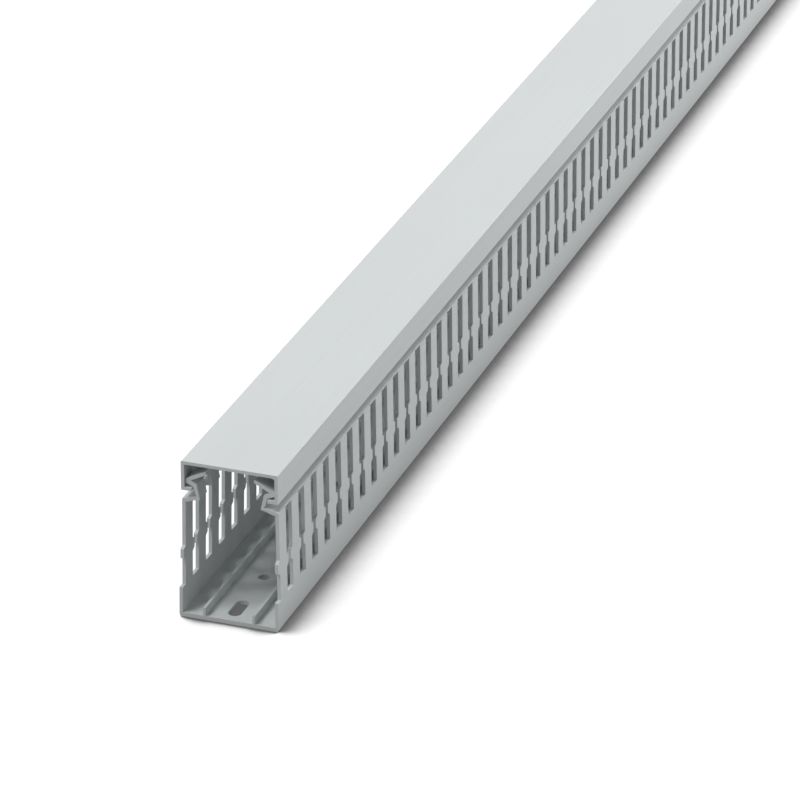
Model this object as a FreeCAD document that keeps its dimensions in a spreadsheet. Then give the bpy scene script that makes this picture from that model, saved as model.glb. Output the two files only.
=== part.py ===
"""Slotted wire duct with its clip-on cover, a nominal 40 x 60 mm trunking cut 1 m long.

Millimetres, +Z up. The origin is at the middle of the underside, and the duct runs along Y.
The channel is one extrusion: floor, two lengthwise ribs and two walls that bend inward over a
shoulder into a hooked top. Slots punched through both walls leave rows of free-standing fingers.
The cover is a second extrusion whose inturned lips catch below the hooks.
Heights of the hooked top are given as drops below the cover's top face, and its places across
the duct as insets from the outer face of the cover.
"""

import FreeCAD, Part
import math
import os
import Sketcher

SIZES = [
    ("length", 1000.0, "length of the channel"),
    ("base_width", 37.5, "outer width at the floor"),
    ("top_width", 36.0, "outer width of the cover and of the walls below it"),
    ("total_height", 60.0, "underside to the top of the closed cover"),
    ("wall", 1.3, "thickness of the channel's walls"),
    ("floor", 1.5, "thickness of the floor"),
    ("base_radius", 1.0, "rounding of the two lower edges"),
    ("rib_offset", 9.25, "middle of the duct to the middle of each floor rib"),
    ("rib_width", 1.0, "thickness of a floor rib"),
    ("rib_height", 3.3, "height of a floor rib above the floor"),
    ("pitch", 12.5, "slot to slot"),
    ("slot_width", 5.8, "width of a slot between two fingers"),
    ("first_finger", 2.8, "end of the channel to the first finger"),
    ("slot_bottom", 11.4, "height of the solid strip below the slots"),
    ("pinch_bottom", 21.4, "height where the narrow neck of a slot starts"),
    ("pinch_height", 5.4, "height of that narrow neck"),
    ("pinch_depth", 1.7, "how far each finger reaches into the slot there"),
    ("pinch_slope", 0.9, "height of the sloping start and end of that reach"),
    ("shoulder_drop", 15.0, "where a wall bends inward into the shoulder"),
    ("neck_drop", 13.5, "drop of the neck's foot, at the inner end of the shoulder"),
    ("neck_inset", 4.2, "inset of the neck's outer face at the ledge"),
    ("neck_lean", 1.2, "how much further in the neck stands at its foot"),
    ("ledge_drop", 9.7, "drop of the ledge that the cover's lip catches, at the neck"),
    ("ledge_rise", 1.0, "how much the ledge rises outward to the hook's blunt face"),
    ("ledge_thickness", 1.4, "upright thickness of the ledge"),
    ("bead_height", 1.7, "height of the blunt outer face of the hook"),
    ("arm_inset", 9.0, "inset of the lead-in arm's tip"),
    ("arm_drop", 3.2, "drop of the lead-in arm's tip"),
    ("arm_thickness", 1.35, "upright thickness of the lead-in arm"),
    ("fork_inset", 3.3, "inset of the fork where the arm leaves the ledge"),
    ("pair_spacing", 25.0, "long floor hole to the round one beside it"),
    ("pair_pitch", 100.0, "one pair of floor holes to the next"),
    ("first_hole", 9.4, "end of the channel to the middle of the first long hole"),
    ("long_hole_length", 12.0, "end to end length of a long floor hole"),
    ("long_hole_width", 5.0, "width of a long floor hole"),
    ("round_hole", 4.2, "diameter of a round floor hole"),
    ("cover_wall", 1.2, "thickness of the cover"),
    ("cover_radius", 0.5, "rounding of the cover's two upper edges"),
    ("cover_setback", 2.0, "how far each end of the cover lies inside the channel's end"),
    ("lip_reach", 3.9, "inset of the tip of the cover's lip"),
    ("clearance", 0.3, "running gap between cover and hook"),
]

document = FreeCAD.newDocument("SlottedWireDuct")
sheet = document.addObject("Spreadsheet::Sheet", "Sizes")
for row, (alias, value, meaning) in enumerate(SIZES, start=1):
    sheet.set(f"A{row}", alias)
    sheet.set(f"B{row}", str(value))
    sheet.set(f"C{row}", meaning)
    sheet.setAlias(f"B{row}", alias)
document.recompute()

# Heights and places shared by the channel and its cover, as expressions over the sheet
HALF_TOP = "Sizes.top_width / 2"
HALF_BASE = "Sizes.base_width / 2"
ORIGIN = -1
Y_AXIS_OF_SKETCH = -2


def drop(below_top):
    """A height, given as a drop below the cover's top face."""
    return f"Sizes.total_height - ({below_top})"


def inset(from_outside):
    """A place across the duct, given as an inset from the cover's outer face."""
    return f"{HALF_TOP} - ({from_outside})"


def size(alias):
    return float(sheet.get(alias))


def origin_plane(body, role):
    return next(item for item in body.Origin.OriginFeatures if item.Role == role)


def new_body(label):
    body = document.addObject("PartDesign::Body", label)
    body.Label = label
    return body


def new_sketch(body, name, role, start=None):
    """A sketch on one of the body's own origin planes, its zero moved to start (expressions)."""
    sketch = body.newObject("Sketcher::SketchObject", name)
    sketch.AttachmentSupport = [(origin_plane(body, role), "")]
    sketch.MapMode = "FlatFace"
    for axis, expression in (start or {}).items():
        sketch.setExpression(f".AttachmentOffset.Base.{axis}", expression)
    return sketch


def evaluate(sketch, expression):
    value = sketch.evalExpression(expression)
    return float(getattr(value, "Value", value))


def bind(sketch, constraint, name, expression):
    """Adds a dimension with a name of its own, driven by an expression."""
    index = sketch.addConstraint(constraint)
    sketch.renameConstraint(index, name)
    sketch.setExpression(f"Constraints.{name}", expression)


def draw_outline(sketch, corners):
    """A closed outline of straight edges. Each corner is (name, across, up), both expressions."""
    places = [FreeCAD.Vector(evaluate(sketch, a), evaluate(sketch, u), 0) for _, a, u in corners]
    count = len(corners)
    for i in range(count):
        sketch.addGeometry(Part.LineSegment(places[i], places[(i + 1) % count]), False)
    for i in range(count):
        sketch.addConstraint(Sketcher.Constraint("Coincident", i, 2, (i + 1) % count, 1))
    for i, (name, across, up) in enumerate(corners):
        if across == "0":
            sketch.addConstraint(Sketcher.Constraint("PointOnObject", i, 1, Y_AXIS_OF_SKETCH))
        else:
            place = Sketcher.Constraint("DistanceX", ORIGIN, 1, i, 1, places[i].x)
            bind(sketch, place, f"{name}_across", across)
        if up == "0":
            sketch.addConstraint(Sketcher.Constraint("PointOnObject", i, 1, ORIGIN))
        else:
            place = Sketcher.Constraint("DistanceY", ORIGIN, 1, i, 1, places[i].y)
            bind(sketch, place, f"{name}_up", up)


def pad_both_ways(body, sketch, name, length):
    pad = body.newObject("PartDesign::Pad", name)
    pad.Profile = sketch
    pad.Midplane = True
    pad.setExpression("Length", length)
    document.recompute()
    return pad


def long_edges(feature, across, up):
    """Names of the edges along Y that pass through one corner of the profile."""
    names = []
    for number, edge in enumerate(feature.Shape.Edges, start=1):
        ends = [vertex.Point for vertex in edge.Vertexes]
        if all(abs(p.x - across) < 1e-6 and abs(p.z - up) < 1e-6 for p in ends):
            names.append(f"Edge{number}")
    return names


def round_edges(body, base, name, across, up, radius):
    fillet = body.newObject("PartDesign::Fillet", name)
    fillet.Base = (base, long_edges(base, across, up))
    fillet.setExpression("Radius", radius)
    document.recompute()
    return fillet


def mirror_whole(body, name):
    """Mirrors the half made so far about the duct's middle plane."""
    mirrored = body.newObject("PartDesign::Mirrored", name)
    mirrored.TransformMode = "Whole shape"
    mirrored.MirrorPlane = (origin_plane(body, "YZ_Plane"), [""])
    body.Tip = mirrored
    document.recompute()
    return mirrored


def cut_through(body, sketch, name):
    """A pocket through everything, both ways from its sketch. It must take material away."""
    before = body.Shape.Volume
    pocket = body.newObject("PartDesign::Pocket", name)
    pocket.Profile = sketch
    pocket.Type = "ThroughAll"
    pocket.Midplane = True
    document.recompute()
    assert pocket.Shape.Volume < before - 1e-6, f"{name} cuts nothing"
    return pocket


def repeat_along(body, feature, name, step, count):
    """Repeats a pocket along the duct, count times in all, step apart."""
    before = feature.Shape.Volume
    pattern = body.newObject("PartDesign::LinearPattern", name)
    pattern.Originals = [feature]
    pattern.Direction = (origin_plane(body, "Y_Axis"), [""])
    pattern.Mode = "Spacing"
    pattern.setExpression("Offset", step)
    pattern.setExpression("Occurrences", count)
    body.Tip = pattern
    document.recompute()
    assert pattern.Shape.Volume < before - 1e-6, f"{name} cuts nothing"
    return pattern


def build_channel():
    body = new_body("duct_channel")
    profile = new_sketch(body, "ChannelProfile", "XZ_Plane")
    bead = "Sizes.cover_wall + Sizes.clearance"
    bead_bottom = "Sizes.ledge_drop - Sizes.ledge_rise"
    bead_top = f"{bead_bottom} - Sizes.bead_height"
    arm_slope = f"({bead_top} - Sizes.arm_drop) / (Sizes.arm_inset - ({bead}))"
    fork_drop = f"{bead_top} + Sizes.arm_thickness - (Sizes.fork_inset - ({bead})) * {arm_slope}"
    ledge_slope = f"Sizes.ledge_rise / (Sizes.neck_inset - ({bead}))"
    neck_head_drop = f"Sizes.ledge_drop + Sizes.wall * {ledge_slope} - Sizes.ledge_thickness"
    foot = "Sizes.neck_inset + Sizes.neck_lean"
    shoulder_slope = f"(Sizes.shoulder_drop - Sizes.neck_drop) / ({foot})"
    below_shoulder = f"Sizes.wall - Sizes.wall * {shoulder_slope}"
    rib_outside = "Sizes.rib_offset + Sizes.rib_width / 2"
    rib_inside = "Sizes.rib_offset - Sizes.rib_width / 2"
    rib_top = "Sizes.floor + Sizes.rib_height"
    draw_outline(profile, [
        ("underside_middle", "0", "0"),
        ("underside_edge", HALF_BASE, "0"),
        ("shoulder", HALF_TOP, drop("Sizes.shoulder_drop")),
        ("neck_foot", inset(foot), drop("Sizes.neck_drop")),
        ("ledge_inside", inset("Sizes.neck_inset"), drop("Sizes.ledge_drop")),
        ("ledge_outside", inset(bead), drop(bead_bottom)),
        ("bead_top", inset(bead), drop(bead_top)),
        ("arm_tip_top", inset("Sizes.arm_inset"), drop("Sizes.arm_drop")),
        ("arm_tip_bottom", inset("Sizes.arm_inset"), drop("Sizes.arm_drop + Sizes.arm_thickness")),
        ("fork", inset("Sizes.fork_inset"), drop(fork_drop)),
        ("neck_head", inset("Sizes.neck_inset + Sizes.wall"), drop(neck_head_drop)),
        ("neck_inner_foot", inset(f"{foot} + Sizes.wall"), drop(f"Sizes.neck_drop + {below_shoulder}")),
        ("shoulder_inside", inset("Sizes.wall"), drop(f"Sizes.shoulder_drop + {below_shoulder}")),
        ("wall_inside_foot", f"{HALF_BASE} - Sizes.wall", "Sizes.floor"),
        ("rib_outer_foot", rib_outside, "Sizes.floor"),
        ("rib_outer_top", rib_outside, rib_top),
        ("rib_inner_top", rib_inside, rib_top),
        ("rib_inner_foot", rib_inside, "Sizes.floor"),
        ("floor_middle", "0", "Sizes.floor"),
    ])
    half = pad_both_ways(body, profile, "ChannelHalf", "Sizes.length")
    round_edges(body, half, "LowerEdge", size("base_width") / 2, 0.0, "Sizes.base_radius")
    mirror_whole(body, "ChannelWhole")
    cut_slots(body)
    cut_long_holes(body)
    cut_round_holes(body)
    return body


def cut_slots(body):
    """Slots open at the top through both walls. The channel is sawn through its first slot."""
    slot = new_sketch(body, "SlotOutline", "YZ_Plane", {
        "x": "-Sizes.length / 2 + Sizes.first_finger - Sizes.slot_width",
        "y": "Sizes.slot_bottom",
    })
    neck_bottom = "Sizes.pinch_bottom - Sizes.slot_bottom"
    neck_start = f"{neck_bottom} + Sizes.pinch_slope"
    neck_end = f"{neck_bottom} + Sizes.pinch_height - Sizes.pinch_slope"
    neck_top = f"{neck_bottom} + Sizes.pinch_height"
    above = "Sizes.total_height - Sizes.slot_bottom"
    near = "Sizes.pinch_depth"
    far = "Sizes.slot_width - Sizes.pinch_depth"
    wide = "Sizes.slot_width"
    draw_outline(slot, [
        ("bottom_near", "0", "0"),
        ("bottom_far", wide, "0"),
        ("neck_bottom_far", wide, neck_bottom),
        ("neck_start_far", far, neck_start),
        ("neck_end_far", far, neck_end),
        ("neck_top_far", wide, neck_top),
        ("above_far", wide, above),
        ("above_near", "0", above),
        ("neck_top_near", "0", neck_top),
        ("neck_end_near", near, neck_end),
        ("neck_start_near", near, neck_start),
        ("neck_bottom_near", "0", neck_bottom),
    ])
    pocket = cut_through(body, slot, "Slot")
    room = "Sizes.length - Sizes.first_finger + Sizes.slot_width"
    repeat_along(body, pocket, "Slots", "Sizes.pitch", f"floor(({room}) / Sizes.pitch) + 1")


def pairs_that_fit(last_edge):
    """How many hole pairs the channel takes, when the first hole's far edge is at last_edge."""
    return f"floor((Sizes.length - ({last_edge})) / Sizes.pair_pitch) + 1"


def cut_long_holes(body):
    """Long screw holes on the floor's middle line, one in each pair."""
    start = {"y": "-Sizes.length / 2 + Sizes.first_hole"}
    outline = new_sketch(body, "LongHoleOutline", "XY_Plane", start)
    radius = size("long_hole_width") / 2
    reach = size("long_hole_length") / 2 - radius
    point = FreeCAD.Vector
    up = point(0, 0, 1)
    far_end = Part.Circle(point(0, reach, 0), up, radius)
    near_end = Part.Circle(point(0, -reach, 0), up, radius)
    left = Part.LineSegment(point(-radius, reach, 0), point(-radius, -reach, 0))
    right = Part.LineSegment(point(radius, -reach, 0), point(radius, reach, 0))
    outline.addGeometry(Part.ArcOfCircle(far_end, 0, math.pi), False)
    outline.addGeometry(left, False)
    outline.addGeometry(Part.ArcOfCircle(near_end, math.pi, 2 * math.pi), False)
    outline.addGeometry(right, False)
    for i in range(4):
        outline.addConstraint(Sketcher.Constraint("Tangent", i, 2, (i + 1) % 4, 1))
    outline.addConstraint(Sketcher.Constraint("Vertical", 1))
    outline.addConstraint(Sketcher.Constraint("Symmetric", 0, 3, 2, 3, ORIGIN, 1))
    end_radius = Sketcher.Constraint("Radius", 0, radius)
    bind(outline, end_radius, "end_radius", "Sizes.long_hole_width / 2")
    apart = Sketcher.Constraint("DistanceY", 2, 3, 0, 3, 2 * reach)
    bind(outline, apart, "centres_apart", "Sizes.long_hole_length - Sizes.long_hole_width")
    pocket = cut_through(body, outline, "LongHole")
    last_edge = "Sizes.first_hole + Sizes.long_hole_length / 2"
    repeat_along(body, pocket, "LongHoles", "Sizes.pair_pitch", pairs_that_fit(last_edge))


def cut_round_holes(body):
    """Round screw holes, one in each pair."""
    start = {"y": "-Sizes.length / 2 + Sizes.first_hole + Sizes.pair_spacing"}
    outline = new_sketch(body, "RoundHoleOutline", "XY_Plane", start)
    circle = Part.Circle(FreeCAD.Vector(0, 0, 0), FreeCAD.Vector(0, 0, 1), size("round_hole") / 2)
    outline.addGeometry(circle, False)
    outline.addConstraint(Sketcher.Constraint("Coincident", 0, 3, ORIGIN, 1))
    across = Sketcher.Constraint("Diameter", 0, size("round_hole"))
    bind(outline, across, "across", "Sizes.round_hole")
    pocket = cut_through(body, outline, "RoundHole")
    last_edge = "Sizes.first_hole + Sizes.pair_spacing + Sizes.round_hole / 2"
    repeat_along(body, pocket, "RoundHoles", "Sizes.pair_pitch", pairs_that_fit(last_edge))


def build_cover():
    body = new_body("duct_cover")
    profile = new_sketch(body, "CoverProfile", "XZ_Plane")
    flange_inside = inset("Sizes.cover_wall")
    lip_top = drop("Sizes.ledge_drop + Sizes.clearance")
    lip_bottom = drop("Sizes.ledge_drop + Sizes.clearance + Sizes.cover_wall")
    plate_bottom = drop("Sizes.cover_wall")
    draw_outline(profile, [
        ("plate_middle_bottom", "0", plate_bottom),
        ("flange_inside_top", flange_inside, plate_bottom),
        ("flange_inside_foot", flange_inside, lip_top),
        ("lip_tip_top", inset("Sizes.lip_reach"), lip_top),
        ("lip_tip_bottom", inset("Sizes.lip_reach"), lip_bottom),
        ("flange_foot", HALF_TOP, lip_bottom),
        ("flange_top", HALF_TOP, "Sizes.total_height"),
        ("plate_middle_top", "0", "Sizes.total_height"),
    ])
    half = pad_both_ways(body, profile, "CoverHalf", "Sizes.length - 2 * Sizes.cover_setback")
    top_corner = (size("top_width") / 2, size("total_height"))
    round_edges(body, half, "UpperEdge", *top_corner, "Sizes.cover_radius")
    mirror_whole(body, "CoverWhole")
    return body


def check_document():
    """Stops the script if a recompute left anything failed."""
    for item in document.Objects:
        failed = {"Invalid", "Error"} & set(item.State)
        assert not failed, f"{item.Name} is {item.State}"


parts = [build_channel(), build_cover()]
document.recompute()
check_document()
for part in parts:
    assert not part.Shape.isNull() and part.Shape.isValid(), f"{part.Label} has no sound shape"
    assert len(part.Shape.Solids) == 1, f"{part.Label} is {len(part.Shape.Solids)} solids"

os.makedirs("parts", exist_ok=True)
for part in parts:
    part.Shape.exportStep(f"parts/{part.Label}.step")
    print(part.Label, round(part.Shape.Volume), "mm3")
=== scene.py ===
"""Looks of a slotted wire duct with its clip-on cover: plastic, floor, light and camera.

Metres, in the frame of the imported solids: the duct runs along Y and stands on z = 0.
"""

import math

import bpy
from mathutils import Euler, Matrix, Vector


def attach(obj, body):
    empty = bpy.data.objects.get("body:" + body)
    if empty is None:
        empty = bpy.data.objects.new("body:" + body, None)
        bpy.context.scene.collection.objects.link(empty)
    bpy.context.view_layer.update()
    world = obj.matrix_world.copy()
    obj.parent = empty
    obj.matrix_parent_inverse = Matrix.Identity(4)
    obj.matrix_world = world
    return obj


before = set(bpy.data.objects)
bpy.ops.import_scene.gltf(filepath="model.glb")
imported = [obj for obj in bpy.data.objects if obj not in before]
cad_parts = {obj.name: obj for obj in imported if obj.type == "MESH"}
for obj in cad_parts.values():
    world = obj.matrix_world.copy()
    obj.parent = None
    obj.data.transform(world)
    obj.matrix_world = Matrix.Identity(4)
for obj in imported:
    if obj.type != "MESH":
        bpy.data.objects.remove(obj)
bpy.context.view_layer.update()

# Plastic, with its colours linear, as the shaders take them
CHANNEL_GREY = (0.60, 0.63, 0.632)
COVER_GREY = (0.61, 0.64, 0.645)
PLASTIC_IOR = 1.52
ROUGHNESS_LOW = 0.42
ROUGHNESS_HIGH = 0.51

# Noise in cells per metre along X, Y and Z, and the middle of the range that it fills
DRAW_LINES = (850, 4, 850)
GRAIN = (2600, 2600, 2600)
MOTTLE = (22, 9, 22)
NOISE_LOW = 0.3
NOISE_HIGH = 0.7

# What the noise does to the colour, as factors on it, and to the surface
MOTTLE_DARK = 0.975
MOTTLE_LIGHT = 1.015
LINE_DARK = 0.96
LINE_SHARE = 0.5
LINE_DEPTH = 0.00003
LINE_BUMP = 0.35
GRAIN_DEPTH = 0.00002
GRAIN_BUMP = 0.3

# To the eye the floor glows and is white, but it throws light back as a plain grey would
FLOOR_SEEN = 0.30
FLOOR_ALBEDO = 0.42
FLOOR_GLOW = 0.85
FLOOR_HALF_SIZE = 4.0
FLOOR_NEAR_ACROSS = (-0.08, 0.11)
FLOOR_NEAR_ALONG = (-0.58, 0.58)
# The panel under the object, where the floor is painted in the shadow's darkest shade
FLOOR_PAINTED_SHADE_ACROSS = (-0.0175, 0.0175)
FLOOR_PAINTED_SHADE_ALONG = (-0.4995, 0.4995)

# The object's shadow on the floor, from how far the floor is closed in by it
SHADOW_REACH = 0.036
SHADOW_LEAN = (-0.36, 0.72, 0.60)
SHADOW_CLOSED = 0.515
SHADOW_OPEN = 0.74
SHADOW_CURVE = 0.7
SHADOW_DARKEST = 0.12
SHADOW_SAMPLES = 40

# The strength of the world on the object, and each lamp's name, place, aim, side and watts
WORLD_LIGHT = 0.22
LAMPS = [
    ("key", (-0.9, -1.2, 1.9), (0, -0.45, 0.03), 0.9, 28),
    ("right_fill", (1.2, 1.3, 0.7), (0, 0, 0.03), 0.8, 20),
    ("top_far", (0.3, 0.9, 1.9), (0, -0.1, 0.03), 0.7, 14),
]

# The strip that joins the fingers at the shoulder, in millimetres: its section, clockwise, as
# insets from the cover's outer face and drops below its top face, and its ends along the duct
STRIP_SECTION = [(0.0, 15.2), (1.3, 15.94), (3.5, 15.33), (3.5, 14.03), (0.0, 15.0)]
STRIP_START = -497.2
STRIP_END = 497.0
STRIP_PROUD = 0.04
HALF_TOP_WIDTH = 18.0
TOTAL_HEIGHT = 60.0
MILLIMETRE = 0.001

# The photograph's camera, fitted to the slots, the long edges and the corners of the front end
CAMERA_PLACE = Vector((0.4859, -1.7136, 0.7069))
CAMERA_AZIMUTH = math.radians(19.20)
CAMERA_ELEVATION = math.radians(25.38)
CAMERA_ROLL = math.radians(0.23)
CAMERA_FOCAL_PIXELS = 4219.4
CAMERA_NEAREST = 0.05
CAMERA_FARTHEST = 50
PICTURE_WIDTH_PIXELS = 800
SENSOR_WIDTH = 36.0

# Sockets of the Mix node that mixes colours
MIX_FACTOR = 0
MIX_FIRST = 6
MIX_SECOND = 7
MIX_RESULT = 2


def shaded(colour, factor):
    return tuple(channel * factor for channel in colour) + (1.0,)


class Graph:
    """Short calls for making the nodes of one material, or of the world."""

    def __init__(self, owner):
        owner.use_nodes = True
        self.tree = owner.node_tree
        self.tree.nodes.clear()

    def node(self, kind, **inputs):
        made = self.tree.nodes.new("ShaderNode" + kind)
        for socket, value in inputs.items():
            self.feed(made, socket.replace("_", " "), value)
        return made

    def feed(self, node, socket, value):
        """Links an output into a socket, or sets the socket to a plain value."""
        if isinstance(value, bpy.types.NodeSocket):
            self.tree.links.new(value, node.inputs[socket])
        else:
            node.inputs[socket].default_value = value

    def noise(self, where, cells, detail=2.0):
        mapping = self.node("Mapping", Vector=where, Scale=cells)
        noise = self.node("TexNoise", Vector=mapping.outputs[0], Scale=1.0, Detail=detail)
        return noise.outputs["Fac"]

    def spread(self, value, low, high):
        """Maps the middle of a noise's range to low and high."""
        mapped = self.node("MapRange", Value=value)
        self.feed(mapped, "From Min", NOISE_LOW)
        self.feed(mapped, "From Max", NOISE_HIGH)
        self.feed(mapped, "To Min", low)
        self.feed(mapped, "To Max", high)
        return mapped.outputs[0]

    def mixed(self, factor, first, second):
        mix = self.tree.nodes.new("ShaderNodeMix")
        mix.data_type = "RGBA"
        self.feed(mix, MIX_FACTOR, factor)
        self.feed(mix, MIX_FIRST, first)
        self.feed(mix, MIX_SECOND, second)
        return mix.outputs[MIX_RESULT]

    def math(self, how, first, second):
        made = self.tree.nodes.new("ShaderNodeMath")
        made.operation = how
        self.feed(made, 0, first)
        self.feed(made, 1, second)
        return made.outputs[0]


def plastic(name, colour):
    """Satin rigid plastic: faint draw lines along the extrusion, a fine grain and soft mottling."""
    material = bpy.data.materials.new(name)
    graph = Graph(material)
    where = graph.node("TexCoord").outputs["Object"]
    lines = graph.noise(where, DRAW_LINES, detail=3.0)
    grain = graph.noise(where, GRAIN)
    mottle = graph.spread(graph.noise(where, MOTTLE), 0, 1)
    soft = graph.mixed(mottle, shaded(colour, MOTTLE_DARK), shaded(colour, MOTTLE_LIGHT))
    lined = graph.mixed(graph.spread(lines, 0, LINE_SHARE), soft, shaded(colour, LINE_DARK))
    line_bump = graph.node("Bump", Height=lines, Strength=LINE_BUMP, Distance=LINE_DEPTH)
    bump = graph.node("Bump", Height=grain, Strength=GRAIN_BUMP, Distance=GRAIN_DEPTH,
                      Normal=line_bump.outputs[0])
    shader = graph.node("BsdfPrincipled", IOR=PLASTIC_IOR, Base_Color=lined,
                        Normal=bump.outputs[0])
    graph.feed(shader, "Roughness", graph.spread(lines, ROUGHNESS_LOW, ROUGHNESS_HIGH))
    graph.node("OutputMaterial", Surface=shader.outputs[0])
    return material


def dress(node, material):
    """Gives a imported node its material."""
    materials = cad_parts[node].data.materials
    materials.clear()
    materials.append(material)


def grown(outline, by):
    """An outline of (across, up) corners, run clockwise, with every side moved outward."""
    corners = []
    count = len(outline)
    for i in range(count):
        before = (outline[i] - outline[i - 1]).normalized()
        after = (outline[(i + 1) % count] - outline[i]).normalized()
        first = Vector((-before.y, before.x))
        second = Vector((-after.y, after.x))
        corners.append(outline[i] + (first + second) * (by / (1 + first.dot(second))))
    return corners


def add_strip(name, side, material):
    """The strip at the shoulder of one wall, which runs on over the slots."""
    places = [(HALF_TOP_WIDTH - inset, TOTAL_HEIGHT - drop) for inset, drop in STRIP_SECTION]
    outline = grown([Vector(place) for place in places], STRIP_PROUD)
    ends = (STRIP_START - STRIP_PROUD, STRIP_END + STRIP_PROUD)
    points = [Vector((side * p.x, y, p.y)) * MILLIMETRE for y in ends for p in outline]
    count = len(outline)
    faces = [tuple(range(count)), tuple(reversed(range(count, 2 * count)))]
    for i in range(count):
        j = (i + 1) % count
        faces.append((j, i, i + count, j + count))
    if side < 0:
        faces = [tuple(reversed(face)) for face in faces]
    mesh = bpy.data.meshes.new(name)
    mesh.from_pydata(points, [], faces)
    mesh.materials.append(material)
    strip = bpy.data.objects.new(name, mesh)
    bpy.context.scene.collection.objects.link(strip)
    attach(strip, "channel")


def seen_directly(graph):
    """1 for what the camera sees, also in gloss or through clear material, else 0."""
    rays = graph.node("LightPath")
    glossy = graph.math("MAXIMUM", rays.outputs["Is Camera Ray"], rays.outputs["Is Glossy Ray"])
    return graph.math("MAXIMUM", glossy, rays.outputs["Is Transmission Ray"])


def soft_shadow(graph):
    """Near 0 where the floor is closed in by the object and 1 where it lies open."""
    lean = graph.node("CombineXYZ", X=SHADOW_LEAN[0], Y=SHADOW_LEAN[1], Z=SHADOW_LEAN[2])
    near = graph.node("AmbientOcclusion", Distance=SHADOW_REACH, Normal=lean.outputs[0])
    near.samples = SHADOW_SAMPLES
    openness = graph.node("MapRange", Value=near.outputs["AO"])
    graph.feed(openness, "From Min", SHADOW_CLOSED)
    graph.feed(openness, "From Max", SHADOW_OPEN)
    curved = graph.math("POWER", openness.outputs[0], SHADOW_CURVE)
    shadow = graph.node("MapRange", Value=curved)
    graph.feed(shadow, "To Min", SHADOW_DARKEST)
    return shadow.outputs[0]


def floor_white(name, shadow_of):
    """White to the eye, times the shadow, and a plain grey in the light that it throws back."""
    material = bpy.data.materials.new(name)
    graph = Graph(material)
    shadow = shadow_of(graph)
    seen = seen_directly(graph)
    bright = graph.math("MULTIPLY", shadow, FLOOR_SEEN)
    plain = shaded((1, 1, 1), FLOOR_ALBEDO)
    matte = graph.node("BsdfDiffuse", Color=graph.mixed(seen, plain, bright))
    strength = graph.math("MULTIPLY", seen, FLOOR_GLOW)
    glow = graph.node("Emission", Strength=graph.math("MULTIPLY", strength, shadow))
    both = graph.node("AddShader")
    graph.feed(both, 0, matte.outputs[0])
    graph.feed(both, 1, glow.outputs[0])
    graph.node("OutputMaterial", Surface=both.outputs[0])
    return material


def add_floor():
    """A floor of five by five panels: one under the object in painted darkest shade, a ring near it
    with a painted soft shadow, and a far ring.
    """
    across = sorted((-FLOOR_HALF_SIZE, FLOOR_HALF_SIZE, *FLOOR_NEAR_ACROSS, *FLOOR_PAINTED_SHADE_ACROSS))
    along = sorted((-FLOOR_HALF_SIZE, FLOOR_HALF_SIZE, *FLOOR_NEAR_ALONG, *FLOOR_PAINTED_SHADE_ALONG))
    lines = len(across)
    panels = [(i, j) for j in range(lines - 1) for i in range(lines - 1)]
    first = [lines * j + i for i, j in panels]
    faces = [(k, k + 1, k + 1 + lines, k + lines) for k in first]
    mesh = bpy.data.meshes.new("floor")
    mesh.from_pydata([(x, y, 0) for y in along for x in across], [], faces)
    mesh.materials.append(floor_white("floor_far", lambda graph: 1.0))
    mesh.materials.append(floor_white("floor_near", soft_shadow))
    # Painted shade: the panel under the object is held at the shadow's darkest value
    mesh.materials.append(floor_white("floor_painted_shade", lambda graph: SHADOW_DARKEST))
    middle = len(mesh.materials) - 1
    for polygon, (i, j) in zip(mesh.polygons, panels):
        ring = max(abs(i - middle), abs(j - middle))
        polygon.material_index = middle - ring
    floor = bpy.data.objects.new("floor", mesh)
    bpy.context.scene.collection.objects.link(floor)


def set_world():
    """A weak even light from all round, which the camera and gloss see as plain white."""
    world = bpy.data.worlds.new("studio")
    graph = Graph(world)
    strength = graph.node("MapRange", Value=seen_directly(graph))
    graph.feed(strength, "To Min", WORLD_LIGHT)
    sky = graph.node("Background", Color=(1, 1, 1, 1), Strength=strength.outputs[0])
    graph.node("OutputWorld", Surface=sky.outputs[0])
    bpy.context.scene.world = world


def add_lamp(name, place, aim, side, watts):
    """A square area lamp that faces the point aim."""
    light = bpy.data.lights.new(name, "AREA")
    light.shape = "SQUARE"
    light.size = side
    light.energy = watts
    lamp = bpy.data.objects.new(name, light)
    lamp.location = place
    direction = Vector(aim) - Vector(place)
    lamp.rotation_euler = direction.to_track_quat("-Z", "Y").to_euler()
    bpy.context.scene.collection.objects.link(lamp)


def add_camera():
    data = bpy.data.cameras.new("photo_camera")
    data.sensor_width = SENSOR_WIDTH
    data.lens = CAMERA_FOCAL_PIXELS * SENSOR_WIDTH / PICTURE_WIDTH_PIXELS
    data.clip_start = CAMERA_NEAREST
    data.clip_end = CAMERA_FARTHEST
    camera = bpy.data.objects.new("photo_camera", data)
    turned = Euler((math.pi / 2 - CAMERA_ELEVATION, 0, CAMERA_AZIMUTH)).to_matrix()
    turned = turned @ Matrix.Rotation(CAMERA_ROLL, 3, "Z")
    camera.matrix_world = Matrix.Translation(CAMERA_PLACE) @ turned.to_4x4()
    bpy.context.scene.collection.objects.link(camera)
    bpy.context.scene.camera = camera


channel_plastic = plastic("channel_plastic", CHANNEL_GREY)
dress("duct_channel", channel_plastic)
dress("duct_cover", plastic("cover_plastic", COVER_GREY))
add_strip("strip_right", 1, channel_plastic)
add_strip("strip_left", -1, channel_plastic)
add_floor()
set_world()
for lamp_values in LAMPS:
    add_lamp(*lamp_values)
add_camera()
bpy.context.scene.view_settings.view_transform = "Standard"
